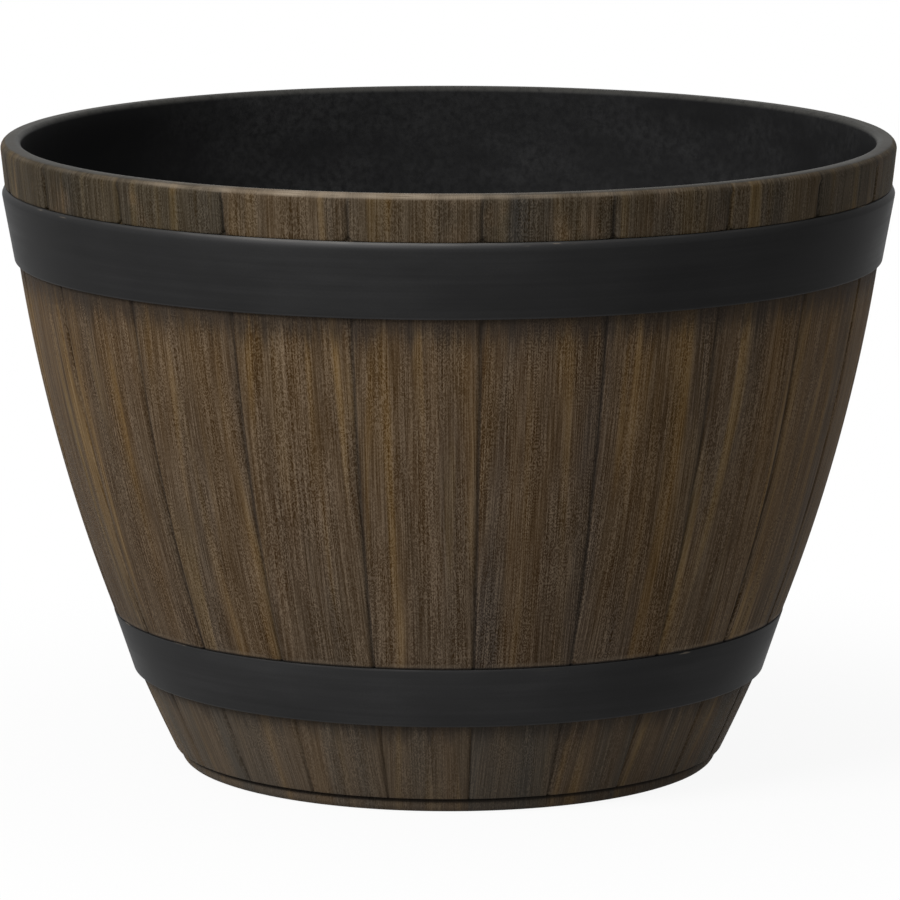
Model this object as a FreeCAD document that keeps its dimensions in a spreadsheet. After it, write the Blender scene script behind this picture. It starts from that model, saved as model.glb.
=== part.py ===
import FreeCAD, Part
import math
import os
import Sketcher

# Half-barrel planter, moulded in resin, with two hoops and a rubber drain plug.
# Millimetres, +Z up, origin on the ground under the planter's centre, front towards -Y.
# The wall is one bowed arc turned about Z. The rim, the inside and the stave grooves share its centre.

SIZES = {
    # Whole planter
    "planter_height": 367.6,
    # Bowed wall: its lower edge, its arc and its thickness
    "wall_foot_diameter": 323.4,
    "wall_base": 9.2,
    "bow_radius": 1001.4,
    "bow_height": 445.3,
    "wall_thickness": 7.0,
    # Rim collar above the upper hoop
    "rim_proud": 2.1,
    "rim_depth": 30.0,
    "rim_outer_round": 4.5,
    "rim_inner_chamfer": 4.0,
    # Foot bead, the groove above it and the ring that stands on the ground
    "foot_diameter": 316.0,
    "foot_bead_top": 5.6,
    "foot_groove_height": 7.6,
    "foot_groove_depth": 1.6,
    "foot_ring_width": 14.0,
    # Floor
    "floor_rise": 9.0,
    "floor_thickness": 7.0,
    # Stave grooves
    "stave_count": 22,
    "stave_turn": -4.1,
    "groove_width": 3.4,
    "groove_depth": 1.5,
    "groove_rim_gap": 1.0,
    "groove_overrun": 3.0,
    # Upper hoop: how far it lies below the rim's crest and stands out of the wall, bevel and shoulder
    "upper_hoop_drop": 26.4,
    "upper_hoop_width": 43.3,
    "upper_hoop_stand_low": 2.3,
    "upper_hoop_stand_high": 4.3,
    "upper_hoop_bevel": 4.2,
    "upper_hoop_shoulder": 1.6,
    # Lower hoop
    "lower_hoop_base": 55.8,
    "lower_hoop_width": 35.4,
    "lower_hoop_stand_low": 2.7,
    "lower_hoop_stand_high": 0.4,
    "lower_hoop_shoulder": 2.7,
    # Room between a hoop and its seat
    "hoop_clearance": 0.2,
    # Drain hole and plug
    "drain_diameter": 24.0,
    "flange_diameter": 38.0,
    "flange_thickness": 3.0,
    "stem_length": 9.0,
    "tab_width": 18.0,
    "tab_height": 12.0,
    "tab_thickness": 5.0,
    "plug_clearance": 0.3,
    "plug_seat_gap": 0.1,
}

# Where the middle of a rounded edge lies in from its square corner, as a share of its radius
ROUND_MIDDLE = 1 - math.sqrt(0.5)

doc = FreeCAD.newDocument("barrel_planter")
sheet = doc.addObject("Spreadsheet::Sheet", "Sizes")
for row, (alias, size) in enumerate(SIZES.items(), start=1):
    sheet.set(f"A{row}", alias)
    sheet.set(f"B{row}", str(size))
    sheet.setAlias(f"B{row}", alias)
doc.recompute()


def value(expression):
    """The number that an expression over the sheet's sizes comes to."""
    return float(sheet.evalExpression(expression))


# The bow's own centre, as a radius from the planter's axis. It lies on the far side of that axis.
BOW_CENTRE = ("(Sizes.wall_foot_diameter / 2"
              " - sqrt(Sizes.bow_radius ^ 2 - (Sizes.bow_height - Sizes.wall_base) ^ 2))")


def bow(height, offset="0"):
    """Radius, at a height, of the wall's arc or of one that runs an offset outside it."""
    reach = f"(Sizes.bow_radius + {offset})"
    return f"({BOW_CENTRE} + sqrt({reach} ^ 2 - (Sizes.bow_height - ({height})) ^ 2))"


def inside(height):
    """Radius of the inner wall at a height."""
    return bow(height, "-Sizes.wall_thickness")


def collar(height):
    """Radius of the rim collar's outer face at a height."""
    return bow(height, "Sizes.rim_proud")


# Heights and radii that several pieces share
RIM_TOP = "Sizes.planter_height"
RIM_BEND = "Sizes.planter_height - Sizes.rim_depth"
FLOOR_TOP = "Sizes.floor_rise + Sizes.floor_thickness"
UPPER_TOP = "Sizes.planter_height - Sizes.upper_hoop_drop"
UPPER_BASE = f"{UPPER_TOP} - Sizes.upper_hoop_width"
UPPER_SEAT_TOP = f"{collar(UPPER_TOP)} - Sizes.upper_hoop_shoulder"
LOWER_BASE = "Sizes.lower_hoop_base"
LOWER_TOP = "Sizes.lower_hoop_base + Sizes.lower_hoop_width"
LOWER_SEAT_TOP = f"{bow(LOWER_TOP)} - Sizes.lower_hoop_shoulder"
DRAIN_RADIUS = "Sizes.drain_diameter / 2"


def origin_item(body, role):
    """One of a body's own origin planes or axes."""
    return next(item for item in body.Origin.OriginFeatures if item.Role == role)


def new_body(label):
    """A body whose label names its file."""
    body = doc.addObject("PartDesign::Body", label)
    body.Label = label
    return body


def new_sketch(body, name, role="XZ_Plane"):
    """An empty sketch on one of the body's origin planes."""
    sketch = body.newObject("Sketcher::SketchObject", name)
    sketch.AttachmentSupport = [(origin_item(body, role), "")]
    sketch.MapMode = "FlatFace"
    return sketch


def bind(sketch, constraint, name, expression):
    """Adds a constraint under a name and ties its size to the sheet."""
    number = sketch.addConstraint(constraint)
    sketch.renameConstraint(number, name)
    sketch.setExpression(f"Constraints.{name}", expression)


def pin_corner(sketch, edge, end, across, up):
    """Holds the corner where an edge starts at two expressions, measured from the sketch's axes."""
    for kind, axis, expression in (("DistanceX", -2, across), ("DistanceY", -1, up)):
        if expression == "0":
            sketch.addConstraint(Sketcher.Constraint("PointOnObject", edge, end, axis))
        else:
            distance = Sketcher.Constraint(kind, edge, end, value(expression))
            bind(sketch, distance, f"{kind}_{edge}", expression)


def arc_between(start, finish, arc):
    """An arc about a centre, and which of its ends is at the start and which at the finish."""
    centre = FreeCAD.Vector(value(arc[0]), value(arc[1]), 0)
    angles = [math.atan2(point.y - centre.y, point.x - centre.x) for point in (start, finish)]
    ends = (1, 2)
    if (angles[1] - angles[0]) % (2 * math.pi) > math.pi:
        angles.reverse()
        ends = (2, 1)
    circle = Part.Circle(centre, FreeCAD.Vector(0, 0, 1), value(arc[2]))
    return Part.ArcOfCircle(circle, *angles), ends


def draw_outline(sketch, corners):
    """A closed outline. A corner is a pair of expressions, with the centre and radius of an arc
    after them where the edge that leaves the corner is one."""
    points = [FreeCAD.Vector(value(corner[0]), value(corner[1]), 0) for corner in corners]
    ends = []
    for index, corner in enumerate(corners):
        start = points[index]
        finish = points[(index + 1) % len(points)]
        edge, edge_ends = Part.LineSegment(start, finish), (1, 2)
        if len(corner) > 2:
            edge, edge_ends = arc_between(start, finish, corner[2])
        sketch.addGeometry(edge)
        ends.append(edge_ends)
    for index in range(len(corners)):
        after = (index + 1) % len(corners)
        sketch.addConstraint(
            Sketcher.Constraint("Coincident", index, ends[index][1], after, ends[after][0]))
    for index, corner in enumerate(corners):
        pin_corner(sketch, index, ends[index][0], corner[0], corner[1])
        if len(corner) > 2:
            radius = corner[2][2]
            bind(sketch, Sketcher.Constraint("Radius", index, value(radius)), f"Radius_{index}", radius)
    doc.recompute()


def revolve(body, sketch, name):
    """The sketch turned all the way round Z."""
    turned = body.newObject("PartDesign::Revolution", name)
    turned.Profile = sketch
    turned.ReferenceAxis = (sketch, ["V_Axis"])
    turned.Angle = 360
    doc.recompute()


def rounded(radius, height, size, inwards, downwards):
    """Corners that round a square edge in two flats, from its upright face to its level one.
    inwards and downwards are + or -, the way from the edge into the solid."""
    middle = f"{ROUND_MIDDLE} * {size}"
    return [
        (radius, f"{height} {downwards} {size}"),
        (f"{radius} {inwards} {middle}", f"{height} {downwards} {middle}"),
        (f"{radius} {inwards} {size}", height),
    ]


def build_shell():
    """The moulding: foot, bowed wall with hoop seats, rim collar, inside, floor and drain hole."""
    body = new_body("barrel_shell")
    foot_radius = "Sizes.foot_diameter / 2"
    foot_inside = f"{foot_radius} - Sizes.foot_ring_width"
    # The inside follows the bow in three straight drafts, so the core pulls out upwards
    draft = f"({RIM_BEND} - ({FLOOR_TOP})) / 3"
    wall_arc = (BOW_CENTRE, "Sizes.bow_height", "Sizes.bow_radius")
    section = new_sketch(body, "ShellSection")
    draw_outline(section, [
        (DRAIN_RADIUS, "Sizes.floor_rise"),
        (foot_inside, "Sizes.floor_rise"),
        (foot_inside, "0"),
        *reversed(rounded(foot_radius, "0", "Sizes.foot_bead_top", "-", "+")),
        (f"{foot_radius} - Sizes.foot_groove_depth", "Sizes.foot_groove_height"),
        (bow("Sizes.wall_base"), "Sizes.wall_base"),
        (bow(LOWER_BASE), LOWER_BASE),
        (LOWER_SEAT_TOP, LOWER_TOP),
        (bow(LOWER_TOP), LOWER_TOP, wall_arc),
        (bow(UPPER_BASE), UPPER_BASE),
        (UPPER_SEAT_TOP, UPPER_TOP),
        (collar(UPPER_TOP), UPPER_TOP),
        *rounded(collar(RIM_TOP), RIM_TOP, "Sizes.rim_outer_round", "-", "-"),
        (f"{inside(RIM_BEND)} + Sizes.rim_inner_chamfer", RIM_TOP),
        (inside(RIM_BEND), f"{RIM_TOP} - Sizes.rim_inner_chamfer"),
        (inside(RIM_BEND), RIM_BEND),
        (inside(f"{RIM_BEND} - {draft}"), f"{RIM_BEND} - {draft}"),
        (inside(f"{FLOOR_TOP} + {draft}"), f"{FLOOR_TOP} + {draft}"),
        (inside(FLOOR_TOP), FLOOR_TOP),
        (DRAIN_RADIUS, FLOOR_TOP),
    ])
    revolve(body, section, "ShellTurned")
    cut_stave_grooves(body)
    body.Placement = FreeCAD.Placement(FreeCAD.Vector(), FreeCAD.Rotation(FreeCAD.Vector(0, 0, 1), 1))
    body.setExpression("Placement.Rotation.Angle", "Sizes.stave_turn")
    return body


def stave_groove(body, name, offset, top, bottom):
    """One V-groove between two heights, turned about the bow's own centre to follow the wall.
    offset is how far the grooved face lies outside the wall's arc."""
    reach = f"(Sizes.bow_radius + {offset})"
    tilt = f"asin((Sizes.bow_height - ({top})) / {reach})"
    drop = f"asin((Sizes.bow_height - ({bottom})) / {reach}) - {tilt}"
    section = new_sketch(body, f"{name}Section", "XY_Plane")
    section.AttachmentOffset = FreeCAD.Placement(
        FreeCAD.Vector(), FreeCAD.Rotation(FreeCAD.Vector(0, 1, 0), 1))
    section.setExpression("AttachmentOffset.Base.x", BOW_CENTRE)
    section.setExpression("AttachmentOffset.Base.z", "Sizes.bow_height")
    section.setExpression("AttachmentOffset.Rotation.Angle", tilt)
    # Both flanks run on past the face by the groove's own depth, so the V is cut clean
    draw_outline(section, [
        (f"{reach} - Sizes.groove_depth", "0"),
        (f"{reach} + Sizes.groove_depth", "-Sizes.groove_width"),
        (f"{reach} + Sizes.groove_depth", "Sizes.groove_width"),
    ])
    groove = body.newObject("PartDesign::Groove", name)
    groove.Profile = section
    groove.ReferenceAxis = (section, ["V_Axis"])
    groove.setExpression("Angle", drop)
    doc.recompute()
    return groove


def cut_stave_grooves(body):
    """The grooves that mark out the staves, on the rim collar and on the wall below it."""
    volumes = [body.Shape.Volume]
    rim_groove = stave_groove(
        body, "RimGroove", "Sizes.rim_proud",
        f"{RIM_TOP} - Sizes.rim_outer_round - Sizes.groove_rim_gap",
        f"{UPPER_TOP} - Sizes.groove_overrun")
    volumes.append(body.Shape.Volume)
    wall_groove = stave_groove(
        body, "WallGroove", "0",
        f"{UPPER_BASE} + Sizes.groove_overrun",
        "Sizes.wall_base - Sizes.groove_overrun")
    volumes.append(body.Shape.Volume)
    staves = body.newObject("PartDesign::PolarPattern", "Staves")
    staves.Originals = [rim_groove, wall_groove]
    staves.Axis = (origin_item(body, "Z_Axis"), [""])
    staves.Angle = 360
    staves.setExpression("Occurrences", "Sizes.stave_count")
    body.Tip = staves
    doc.recompute()
    volumes.append(body.Shape.Volume)
    if any(after >= before for before, after in zip(volumes, volumes[1:])):
        raise RuntimeError("a stave groove cuts nothing")


def build_upper_hoop():
    """The band under the rim: a cone outside, with a bevel that runs up to the collar's face."""
    body = new_body("upper_hoop")
    top = f"{UPPER_TOP} - Sizes.hoop_clearance"
    bevel_base = f"{UPPER_TOP} - Sizes.upper_hoop_bevel"
    section = new_sketch(body, "UpperHoopSection")
    draw_outline(section, [
        (f"{bow(UPPER_BASE)} + Sizes.hoop_clearance", UPPER_BASE),
        (f"{bow(UPPER_BASE)} + Sizes.upper_hoop_stand_low", UPPER_BASE),
        (f"{bow(bevel_base)} + Sizes.upper_hoop_stand_high", bevel_base),
        (collar(UPPER_TOP), top),
        (f"{UPPER_SEAT_TOP} + Sizes.hoop_clearance", top),
    ])
    revolve(body, section, "UpperHoopTurned")
    return body


def build_lower_hoop():
    """The band above the foot: a cone that stands out below and lies nearly flush at its top."""
    body = new_body("lower_hoop")
    top = f"{LOWER_TOP} - Sizes.hoop_clearance"
    section = new_sketch(body, "LowerHoopSection")
    draw_outline(section, [
        (f"{bow(LOWER_BASE)} + Sizes.hoop_clearance", LOWER_BASE),
        (f"{bow(LOWER_BASE)} + Sizes.lower_hoop_stand_low", LOWER_BASE),
        (f"{bow(LOWER_TOP)} + Sizes.lower_hoop_stand_high", top),
        (f"{LOWER_SEAT_TOP} + Sizes.hoop_clearance", top),
    ])
    revolve(body, section, "LowerHoopTurned")
    return body


def build_plug():
    """The drain plug: a flange that lies on the floor, a stem in the drain hole and a pull tab."""
    body = new_body("drain_plug")
    flange_radius = "Sizes.flange_diameter / 2"
    flange_base = f"{FLOOR_TOP} + Sizes.plug_seat_gap"
    flange_top = f"{flange_base} + Sizes.flange_thickness"
    stem_radius = f"{DRAIN_RADIUS} - Sizes.plug_clearance"
    stem_end = f"{flange_base} - Sizes.stem_length"
    section = new_sketch(body, "PlugSection")
    draw_outline(section, [
        ("0", stem_end),
        (stem_radius, stem_end),
        (stem_radius, flange_base),
        (flange_radius, flange_base),
        (flange_radius, flange_top),
        ("0", flange_top),
    ])
    revolve(body, section, "PlugTurned")
    add_pull_tab(body, flange_top)
    return body


def add_pull_tab(body, flange_top):
    """A flat tab with a round top, rooted in the flange."""
    half_tab = "Sizes.tab_width / 2"
    tab_root = f"{flange_top} - Sizes.flange_thickness / 2"
    tab_top = f"{flange_top} + Sizes.tab_height"
    tab_arc = ("0", f"{tab_top} - {half_tab}", half_tab)
    outline = new_sketch(body, "TabOutline")
    draw_outline(outline, [
        (f"-{half_tab}", tab_root),
        (half_tab, tab_root),
        (half_tab, f"{tab_top} - {half_tab}", tab_arc),
        ("0", tab_top, tab_arc),
        (f"-{half_tab}", f"{tab_top} - {half_tab}"),
    ])
    tab = body.newObject("PartDesign::Pad", "PullTab")
    tab.Profile = outline
    tab.SideType = "Symmetric"
    tab.setExpression("Length", "Sizes.tab_thickness")
    doc.recompute()


def check_document(pieces):
    """Stops the build if any object failed or any piece is not one valid solid."""
    for item in doc.Objects:
        if "Invalid" in item.State or "Error" in item.State:
            raise RuntimeError(f"{item.Label} failed: {item.State}")
    for piece in pieces:
        shape = piece.Shape
        if shape.isNull() or not shape.isValid() or len(shape.Solids) != 1:
            raise RuntimeError(f"{piece.Label} is not one valid solid")


planter = [build_shell(), build_upper_hoop(), build_lower_hoop(), build_plug()]
doc.recompute()
check_document(planter)

os.makedirs("parts", exist_ok=True)
for piece in planter:
    piece.Shape.exportStep(f"parts/{piece.Label}.step")
    box = piece.Shape.optimalBoundingBox()
    print(f"{piece.Label}: {box.XLength:.1f} x {box.YLength:.1f} x {box.ZLength:.1f} mm,"
          f" {piece.Shape.Volume / 1000:.1f} cm3")
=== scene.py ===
from math import atan2, cos, hypot, pi, radians, sin, sqrt, tau
from typing import NamedTuple

import bmesh
import bpy
from bpy.props import FloatProperty, FloatVectorProperty, IntProperty, PointerProperty
from bpy.types import Operator, Panel, PropertyGroup
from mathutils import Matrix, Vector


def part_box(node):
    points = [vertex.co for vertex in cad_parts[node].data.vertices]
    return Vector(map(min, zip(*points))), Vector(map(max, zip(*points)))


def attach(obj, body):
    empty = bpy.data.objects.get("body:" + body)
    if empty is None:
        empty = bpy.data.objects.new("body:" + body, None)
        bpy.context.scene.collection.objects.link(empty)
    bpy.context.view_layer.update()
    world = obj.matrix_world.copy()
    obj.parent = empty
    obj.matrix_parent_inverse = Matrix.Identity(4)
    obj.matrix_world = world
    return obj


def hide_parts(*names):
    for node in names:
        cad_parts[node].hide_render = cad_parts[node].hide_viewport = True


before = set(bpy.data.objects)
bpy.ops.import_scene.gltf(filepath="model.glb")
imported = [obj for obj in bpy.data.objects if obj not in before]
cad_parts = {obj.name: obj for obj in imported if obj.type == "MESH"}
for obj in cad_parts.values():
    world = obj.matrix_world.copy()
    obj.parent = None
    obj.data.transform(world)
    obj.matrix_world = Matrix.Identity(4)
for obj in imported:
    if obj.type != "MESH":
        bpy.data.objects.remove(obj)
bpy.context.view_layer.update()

bl_info = {
    "name": "Half-Barrel Planter",
    "version": (1, 0, 0),
    "blender": (4, 5, 0),
    "location": "3D View > Sidebar > Planter",
    "description": "Models the moulded half-barrel planter with its hoops and drain plug",
    "category": "Object",
}

SHELL_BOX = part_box("barrel_shell")
UPPER_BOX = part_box("upper_hoop")
LOWER_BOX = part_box("lower_hoop")
PLUG_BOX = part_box("drain_plug")

UPPER_LOW, UPPER_HIGH = UPPER_BOX[0][2], UPPER_BOX[1][2]
LOWER_LOW, LOWER_HIGH = LOWER_BOX[0][2], LOWER_BOX[1][2]

# The shell's foot, in metres: ring, bead, roundings, the trough over the bead and the wall's start.
FOOT_RING = 0.014
FOOT_EDGE = 0.0008
BEAD_ROUND = 0.0056
RECESS_ROUND, RECESS_BEVEL = 0.0015, 0.0004
RECESS_RINGS = (0.045, 0.09)
TROUGH = ((0.1570, 0.0078), (0.1566, 0.0082), (0.1572, 0.0086), (0.1592, 0.0087), (0.1609, 0.0088))
TROUGH_LIP = 0.0094
WALL_FOOT = 0.0095

# The seats of the hoops: the room around a hoop and how far in each seat's shoulder reaches.
HOOP_GAP = 0.0002
SEAT_NOTCH = 0.0001
LOWER_SEAT, UPPER_SEAT = 0.0027, 0.0016
LOWER_LIP = LOWER_HIGH + HOOP_GAP
COLLAR = UPPER_HIGH + HOOP_GAP

# The rim, the inside and the floor.
RIM_BEND = 0.3376
RIM_ROLL = 0.0032
THROAT = 0.012
FLOOR_ROUND, FLOOR_ROUND_IN = 0.010, 0.0098
FLOOR_RINGS = (0.13, 0.11, 0.09, 0.07, 0.05, 0.035, 0.025, 0.019)
DRAIN_EDGE = 0.0006

# A seam's section from its middle: a share of half its width, and a share of its depth.
SEAM_SECTION = ((0.0, 1.0), (0.30, 0.86), (0.66, 0.46), (1.05, 0.10), (1.75, 0.0))
SEAM_LOW = 0.0089
SEAM_FADE, SEAM_END, SEAM_FADED = 0.0090, 0.0058, 0.60
STAVE_COLUMNS = 7
MID_HEIGHT = 0.19
NEAR = 0.0001

# The collar's corners lift at each seam: a height over its lower edge, and a share of the lift.
COLLAR_CORNER = ((0.0, 1.0), (0.0004, 0.95), (0.0013, 0.7), (0.0026, 0.4), (0.0042, 0.15))
CORNER_LIFT, CORNER_TUCK = 0.0017, 0.35
CORNER_LEAST = 0.12

# The hoops: how far each stands out of the wall low down and high up, and how far back it goes.
UPPER_STAND_LOW, UPPER_STAND_HIGH, UPPER_BACK = 0.0023, 0.0043, 0.0014
UPPER_BEVEL = 0.0040
LOWER_STAND_LOW, LOWER_STAND_HIGH, LOWER_BACK = 0.0027, 0.0004, 0.0024
HOOP_STEPS = 264

# The plug: flange, dish, the drop and narrowing of each step of the stem, and the ridged tab.
PLUG_GAP, STEM_GAP = 0.0001, 0.0003
FLANGE = 0.003
DISH_RIM, DISH_SLOPE, DISH_DEPTH = 0.0035, 0.0008, 0.0006
STEM = ((-0.0062, 1.0), (-0.0004, 0.94), (-0.0020, 0.97), (-0.0004, 0.93))
TAB_ROUND, TAB_THICK, TAB_ROOT = 0.009, 0.0042, 0.001
RIDGES, RIDGE_DROP, RIDGE_PITCH, RIDGE_WIDTH = 3, 0.0030, 0.0022, 0.0011
RIDGE_INSET, RIDGE_PROUD = 0.0002, 0.0004

# The studio: size of the paper, how white it shows by itself near the planter and away from it.
PAPER_SIZE = 60.0
PAPER_NEAR, PAPER_FAR, PAPER_GLOW = 0.20, 0.60, 0.92
SENSOR = 36.0

# How each stave took the glaze, from the back round by the left, the front and the right: how light
# it is, how much charcoal lies on it, and how grimy its end on the rim is, each from 0 to 1.
GLAZE = (
    (0.5, 0.4, 0.5), (0.3, 0.7, 0.4), (0.6, 0.3, 0.7), (0.5, 0.6, 0.3), (0.4, 0.3, 0.6),
    (0.6, 0.5, 0.8), (0.7, 0.4, 1.0), (0.4, 0.4, 1.0), (0.35, 0.3, 0.9), (0.5, 0.3, 0.1),
    (0.65, 0.2, 0.4), (0.1, 0.8, 0.7), (0.5, 0.5, 0.6), (0.6, 0.4, 0.6), (0.4, 0.6, 0.8),
    (0.4, 0.5, 0.9), (0.6, 0.3, 0.4), (0.4, 0.7, 0.6), (0.5, 0.4, 0.3), (0.3, 0.6, 0.7),
    (0.6, 0.2, 0.5), (0.4, 0.5, 0.4),
)


class Noise(NamedTuple):
    """A noise drawn out along the grain: its scales across and up, its shift and its kind."""

    across: float
    up: float
    shift: float = 0.0
    detail: float = 2.0
    roughness: float = 0.5


DRIFT = Noise(14.0, 5.0)
BROAD = Noise(70.0, 2.5, detail=1.0, roughness=0.45)
STREAK = Noise(260.0, 7.0, roughness=0.55)
LINES = Noise(1700.0, 24.0, detail=1.0)
MAZE = Noise(760.0, 380.0, shift=11.0, detail=0.0)
BROKEN = Noise(110.0, 15.0, shift=3.0)
GOLD = Noise(95.0, 5.5, shift=31.0, detail=1.0)
POOL = Noise(34.0, 3.2, shift=67.0, detail=3.0)
DRYING = Noise(48.0, 4.0, shift=43.0)
PATCH = Noise(240.0, 18.0, detail=3.0, roughness=0.6)
SMUDGE = Noise(55.0, 30.0, shift=21.0, detail=3.0)
PAINT_EDGE = Noise(40.0, 200.0, shift=3.0, detail=3.0)
HOOP_STREAK = Noise(5.0, 330.0, shift=2.0, detail=4.0, roughness=0.6)
HOOP_CLOUD = Noise(16.0, 40.0, shift=9.0, detail=3.0, roughness=0.55)
HOOP_PIT = Noise(900.0, 900.0, shift=4.0)
HOOP_RUB = Noise(34.0, 420.0, shift=6.0, detail=3.0, roughness=0.6)


class DarkGlazeAndShade(NamedTuple):
    """Dark glaze and painted shade below a hoop's lower edge: reach of its fingers, reach of its
    dense part, density.
    """

    edge: float
    run: float
    dense: float
    most: float


GLAZE_AND_SHADE_UNDER_HOOPS = (DarkGlazeAndShade(UPPER_LOW, 0.028, 0.022, 0.85), DarkGlazeAndShade(LOWER_LOW, 0.016, 0.012, 0.62))


class HoopLook(NamedTuple):
    """A hoop's black: depth of its rubbed top edge, which also carries a painted highlight, its
    tone, and how worn it is, which also scales its painted sheen.
    """

    edge: float
    tone: float
    wear_and_sheen: float


# The lower hoop's black is set lighter than the upper one's, as painted light from the floor below.
UPPER_LOOK = HoopLook(0.0036, 0.97, 1.0)
LOWER_LOOK = HoopLook(0.0012, 1.22, 0.12)


def length(title, text, default):
    """A length that the sidebar shows in the scene's units."""
    return FloatProperty(name=title, description=text, default=default, unit="LENGTH", precision=5)


def turn(title, text, degrees):
    """An angle, given here in degrees."""
    return FloatProperty(name=title, description=text, default=radians(degrees), subtype="ANGLE")


def colour(title, text, default):
    """A linear colour with a picker."""
    return FloatVectorProperty(name=title, description=text, default=default,
                               subtype="COLOR", size=3, min=0.0, max=1.0)


class PlanterSizes(PropertyGroup):
    """Sizes of the moulding, its hoops and its plug."""

    height: length("Height", "Ground to the crest of the rim", SHELL_BOX[1][2])
    rim_radius: length("Rim radius", "Widest radius, where the rim starts to round over",
                       SHELL_BOX[1][0])
    bow_radius: length("Bow radius", "Radius of the arc that the staves bow along", 1.0014)
    bow_height: length("Bow height", "Height of that arc's centre", 0.4453)
    bow_back: length("Bow set-back", "How far that arc's centre lies beyond the planter's axis",
                     0.73975)
    wall: length("Wall", "Thickness of the moulded wall", 0.007)
    floor_top: length("Floor top", "Height of the floor inside", 0.016)
    recess: length("Foot recess", "Height of the hollow under the floor", 0.009)
    foot_radius: length("Foot radius", "Radius of the bead round the foot", 0.158)
    rim_round: length("Rim rounding", "Radius of the rim's outer edge", 0.0045)
    rim_proud: length("Rim proud", "How far the rim's collar stands out of the bow", 0.0021)
    drain_radius: length("Drain radius", "Radius of the drain hole", 0.012)
    staves: IntProperty(name="Staves", description="Staves round the planter", default=22, min=3)
    stave_turn: turn("Stave turn", "Turn of the first seam from the front", 4.1)
    seam_width: length("Seam width", "Width of the groove between two staves", 0.0034)
    seam_depth: length("Seam depth", "Depth of the groove between two staves", 0.0015)
    hoop_edge: length("Hoop edge", "Rounding of a hoop's edges", 0.0007)
    plug_edge: length("Plug edge", "Rounding of the plug's edges", 0.0006)


class PlanterFinish(PropertyGroup):
    """Colours of the glazed wood grain, the black resin, the hoops and the plug."""

    walnut_dark: colour("Walnut, dark", "Staves where the glaze is thick", (0.0200, 0.0130, 0.0084))
    walnut: colour("Walnut", "Main colour of the staves", (0.0645, 0.0430, 0.0253))
    walnut_light: colour("Walnut, light", "Staves where the glaze is wiped off",
                         (0.1550, 0.1040, 0.0590))
    grain_dark: colour("Grain, dark", "Tint of the glaze left in the lines of the grain",
                       (0.38, 0.27, 0.09))
    grain_light: colour("Grain, light", "Pale crests of the grain", (0.2960, 0.2260, 0.1570))
    golden: colour("Golden streaks", "Thin glaze over the tan base coat", (0.1900, 0.1200, 0.0450))
    charcoal: colour("Charcoal stain", "Bluish dark patches in the glaze", (0.0300, 0.0275, 0.0270))
    warm_cast: colour("Warm cast", "Drift of the glaze towards gold", (1.0, 0.93, 0.76))
    cool_cast: colour("Cool cast", "Drift of the glaze towards slate", (0.88, 0.93, 1.0))
    grime: colour("Grime", "Tint that dulls the rim's collar", (0.5200, 0.5850, 0.6300))
    # Dark glaze, and painted shade: in the seams, the foot's trough, the corner over the lower hoop
    # and below the hoops.
    dark_glaze_and_shade: colour("DarkGlazeAndShade", "Dark glaze in the seams and under the hoops", (0.0150, 0.0132, 0.0122))
    film: colour("Film", "Dull film over the glaze of the foot and the rim's collar",
                 (0.0405, 0.0440, 0.0425))
    # Tan-grey dry brush; also the painted light on the foot's left and part of the painted
    # highlights on the rim and over the lower hoop.
    dry_brush_and_light: colour("Dry brush", "Tan-grey brushed over the rim and the edges",
                      (0.2450, 0.2000, 0.1500))
    resin: colour("Black resin", "Bare resin inside and underneath", (0.0100, 0.0100, 0.0103))
    dust: colour("Dust", "Dusty smears on the bare resin", (0.0260, 0.0260, 0.0262))
    # The crest's grey is partly scuffs, partly a painted sheen along the top of the rim.
    crest: colour("Crest", "Scuffed grey along the top of the rim", (0.0430, 0.0420, 0.0385))
    hoop: colour("Hoop black", "Satin black of the hoops", (0.0170, 0.0170, 0.0172))
    # Rubbed grey on the hoops' edges, and part of the painted highlight on their top edge.
    hoop_rub_and_highlight: colour("Hoop, worn", "Edges of the hoops where the black is rubbed",
                      (0.0860, 0.0850, 0.0850))
    # Bare edge, and a painted highlight along the top of the hoop.
    hoop_bare_edge_and_highlight: colour("Hoop, bright", "Top edge of a hoop where the black is gone",
                        (0.1150, 0.1110, 0.1060))
    rubber: colour("Plug rubber", "Matte black of the plug", (0.0140, 0.0140, 0.0145))


class PlanterStage(PropertyGroup):
    """Camera and light of the studio."""

    camera_reach: length("Camera reach", "Distance from the camera to the planter's axis", 3.7508)
    camera_height: length("Camera height", "Height of the camera", 0.8326)
    camera_tilt: turn("Camera tilt", "How far the camera looks down", 9.838)
    camera_shift: FloatProperty(name="Camera shift", default=0.0016,
                                description="Sideways shift, as a share of the picture's width")
    lens: FloatProperty(name="Lens", description="Focal length on a 36 mm sensor, in millimetres",
                        default=259.16, min=1.0)
    fill: FloatProperty(name="Fill", description="Level of the light from all round",
                        default=0.50, min=0.0)
    key: FloatProperty(name="Key", description="Power of the soft key light, in watts",
                       default=167.0, min=0.0)
    key_side: turn("Key side", "How far the key stands round to the right of the front", -42.0)
    key_rise: turn("Key rise", "How far up the key stands", 38.0)
    key_reach: length("Key reach", "Distance from the key to what it is aimed at", 4.0)
    key_aim: length("Key aim", "Height that the key is aimed at", 0.2)
    key_size: length("Key size", "Width of the key's disc", 1.8)
    paper: colour("Paper", "Floor and backdrop", (0.7, 0.7, 0.7))


def fresh_start():
    """Leaves edit mode and selects nothing, so that the next operator acts on a new piece alone."""
    if bpy.context.object and bpy.context.object.mode != "OBJECT":
        bpy.ops.object.mode_set(mode="OBJECT")
    bpy.ops.object.select_all(action="DESELECT")


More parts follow.
